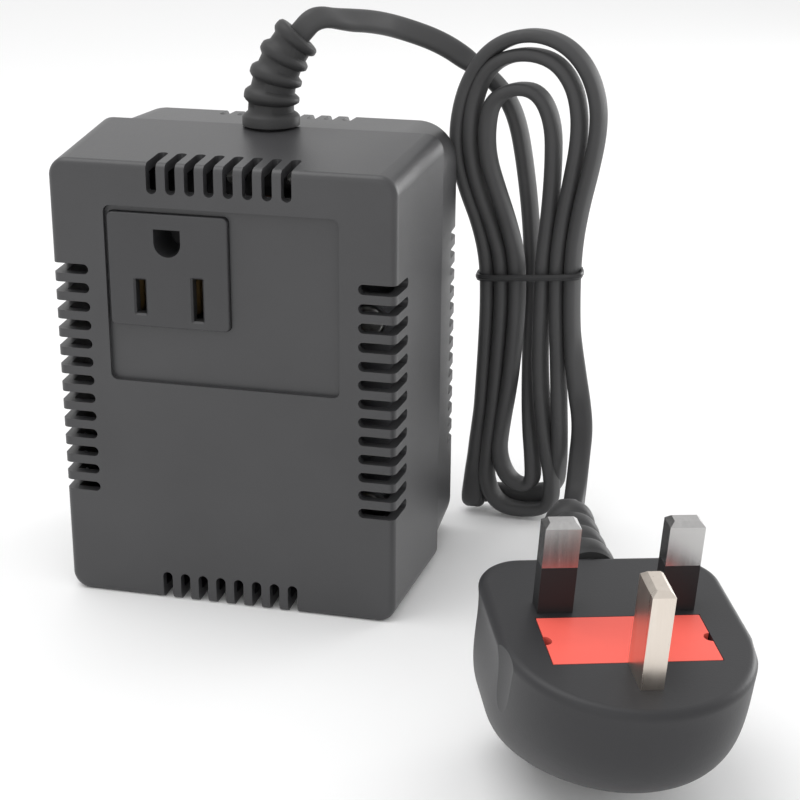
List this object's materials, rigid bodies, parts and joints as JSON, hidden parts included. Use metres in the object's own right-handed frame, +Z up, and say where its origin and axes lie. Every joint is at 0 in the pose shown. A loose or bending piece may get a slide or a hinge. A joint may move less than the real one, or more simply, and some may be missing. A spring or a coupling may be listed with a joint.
{
  "type": "travel voltage converter",
  "caption": "Plug-in step-down converter: a vented box with a transformer and a two-pole-and-earth outlet, on a flat cord tied in loops that ends in a fused three-pin plug.",
  "frame": {"origin": "middle of the box's footprint on the surface it stands on", "axes": "+X to the right seen from the outlet, +Y from the outlet to the back, +Z up"},
  "size_m": [0.1553, 0.1525, 0.1274],
  "materials": {
    "case_plastic": "satin",
    "outlet_plastic": "satin",
    "contact_metal": "bright",
    "core_steel": "varnished",
    "bobbin_plastic": "matte",
    "enamelled_wire": "enamelled",
    "tape": "film",
    "screw_steel": "zinc plated",
    "soft_black": "satin",
    "brown_wire": "satin",
    "blue_wire": "satin",
    "plug_plastic": "satin",
    "pin_metal": "nickel plated",
    "earth_metal": "nickel plated",
    "fuse_ceramic": "matte",
    "carrier_plastic": "gloss"
  },
  "bodies": {
    "converter": {"front_shell": "case_plastic", "rear_shell": "case_plastic", "outlet_face": "outlet_plastic", "outlet_cover": "outlet_plastic", "live_contact": "contact_metal", "neutral_contact": "contact_metal", "core_laminations": "core_steel", "bobbin": "bobbin_plastic", "primary_winding": "enamelled_wire", "secondary_winding": "enamelled_wire", "winding_tape": "tape", "thermal_cutout": "outlet_plastic", "case_screws": "screw_steel", "core_screws": "screw_steel", "clamp_screws": "screw_steel", "cord_gland": "soft_black", "inner_cord": "soft_black", "cord_clamp": "bobbin_plastic", "live_lead_in": "brown_wire", "neutral_lead_in": "blue_wire", "live_lead_out": "brown_wire", "neutral_lead_out": "blue_wire", "cord_lead": "soft_black", "cord_hank": "soft_black", "cord_tail": "soft_black", "twist_tie": "soft_black", "plug_body": "plug_plastic", "plug_insert": "bobbin_plastic", "plug_boot": "soft_black", "plug_inner_cord": "soft_black", "live_pin": "pin_metal", "neutral_pin": "pin_metal", "earth_pin": "earth_metal", "live_pin_sleeve": "plug_plastic", "neutral_pin_sleeve": "plug_plastic", "live_fuse_clip": "contact_metal", "line_fuse_clip": "contact_metal", "plug_neutral_wire": "blue_wire", "plug_line_wire": "brown_wire"},
    "fuse_holder": {"fuse_carrier": "carrier_plastic", "fuse_link": "fuse_ceramic", "fuse_caps": "contact_metal"}
  },
  "joints": [
    {"name": "fuse_carrier_pull", "type": "slide", "parent": "converter", "child": "fuse_holder", "axis": [0.0662, -0.0662, 0.9956], "range_m": [0, 0.014]}
  ]
}
